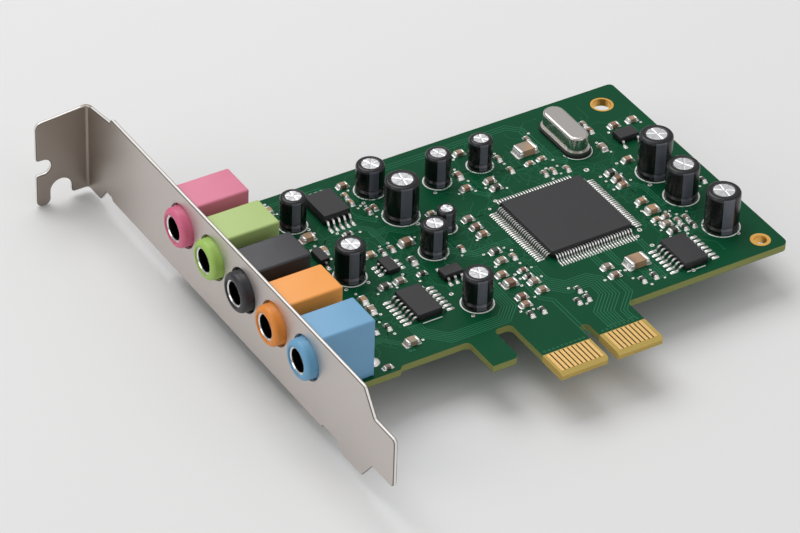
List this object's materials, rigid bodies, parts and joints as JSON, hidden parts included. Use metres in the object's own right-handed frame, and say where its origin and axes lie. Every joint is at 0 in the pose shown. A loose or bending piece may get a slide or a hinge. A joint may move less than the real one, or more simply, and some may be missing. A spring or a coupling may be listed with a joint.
{
  "type": "sound card",
  "caption": "Sound card: green board with card-edge tongues, folded steel bracket, coloured audio jacks, black electrolytic capacitors, square controller chip and metal crystal.",
  "frame": {"origin": "centre line of the key slot, at the tips of the card-edge tongues, half way through the board's thickness", "axes": "+X from the bracket along the card, +Y from the card edge up to the bracket's screw tab, +Z out of the component side"},
  "size_m": [0.1184, 0.12, 0.0239],
  "materials": {
    "board_laminate": "satin",
    "bracket_steel": "satin",
    "screw_steel": "satin",
    "gold_plating": "satin",
    "jack_blue": "satin",
    "jack_orange": "satin",
    "jack_black": "satin",
    "jack_green": "satin",
    "jack_pink": "satin",
    "bushing_nickel": "polished",
    "tinned_copper": "satin",
    "sleeve_vinyl": "glossy",
    "can_aluminium": "satin",
    "bung_rubber": "matte",
    "package_epoxy": "matte",
    "crystal_steel": "satin",
    "chip_ceramic": "satin",
    "resistor_glaze": "glossy"
  },
  "bodies": {
    "root": {"amplifier_body": "package_epoxy", "amplifier_legs": "tinned_copper", "bracket": "bracket_steel", "bracket_screws": "screw_steel", "capacitor_bungs": "bung_rubber", "capacitor_can_01": "can_aluminium", "capacitor_can_02": "can_aluminium", "capacitor_can_03": "can_aluminium", "capacitor_can_04": "can_aluminium", "capacitor_can_05": "can_aluminium", "capacitor_can_06": "can_aluminium", "capacitor_can_07": "can_aluminium", "capacitor_can_08": "can_aluminium", "capacitor_can_09": "can_aluminium", "capacitor_can_10": "can_aluminium", "capacitor_can_11": "can_aluminium", "capacitor_can_12": "can_aluminium", "capacitor_leads": "tinned_copper", "capacitor_sleeve_01": "sleeve_vinyl", "capacitor_sleeve_02": "sleeve_vinyl", "capacitor_sleeve_03": "sleeve_vinyl", "capacitor_sleeve_04": "sleeve_vinyl", "capacitor_sleeve_05": "sleeve_vinyl", "capacitor_sleeve_06": "sleeve_vinyl", "capacitor_sleeve_07": "sleeve_vinyl", "capacitor_sleeve_08": "sleeve_vinyl", "capacitor_sleeve_09": "sleeve_vinyl", "capacitor_sleeve_10": "sleeve_vinyl", "capacitor_sleeve_11": "sleeve_vinyl", "capacitor_sleeve_12": "sleeve_vinyl", "chip_capacitor_bodies": "chip_ceramic", "chip_end_caps": "tinned_copper", "chip_resistor_bodies": "resistor_glaze", "circuit_board": "board_laminate", "contact_fingers_back": "gold_plating", "contact_fingers_front": "gold_plating", "controller_body": "package_epoxy", "controller_legs": "tinned_copper", "converter_bodies": "package_epoxy", "converter_legs": "tinned_copper", "crystal_can": "crystal_steel", "crystal_leads": "tinned_copper", "crystal_spacer": "package_epoxy", "jack_bushing_black": "bushing_nickel", "jack_bushing_blue": "bushing_nickel", "jack_bushing_green": "bushing_nickel", "jack_bushing_orange": "bushing_nickel", "jack_bushing_pink": "bushing_nickel", "jack_contacts": "tinned_copper", "jack_housing_black": "jack_black", "jack_housing_blue": "jack_blue", "jack_housing_green": "jack_green", "jack_housing_orange": "jack_orange", "jack_housing_pink": "jack_pink", "lower_hole_lining": "gold_plating", "small_package_bodies": "package_epoxy", "small_package_legs": "tinned_copper", "upper_hole_lining": "gold_plating"}
  },
  "joints": []
}
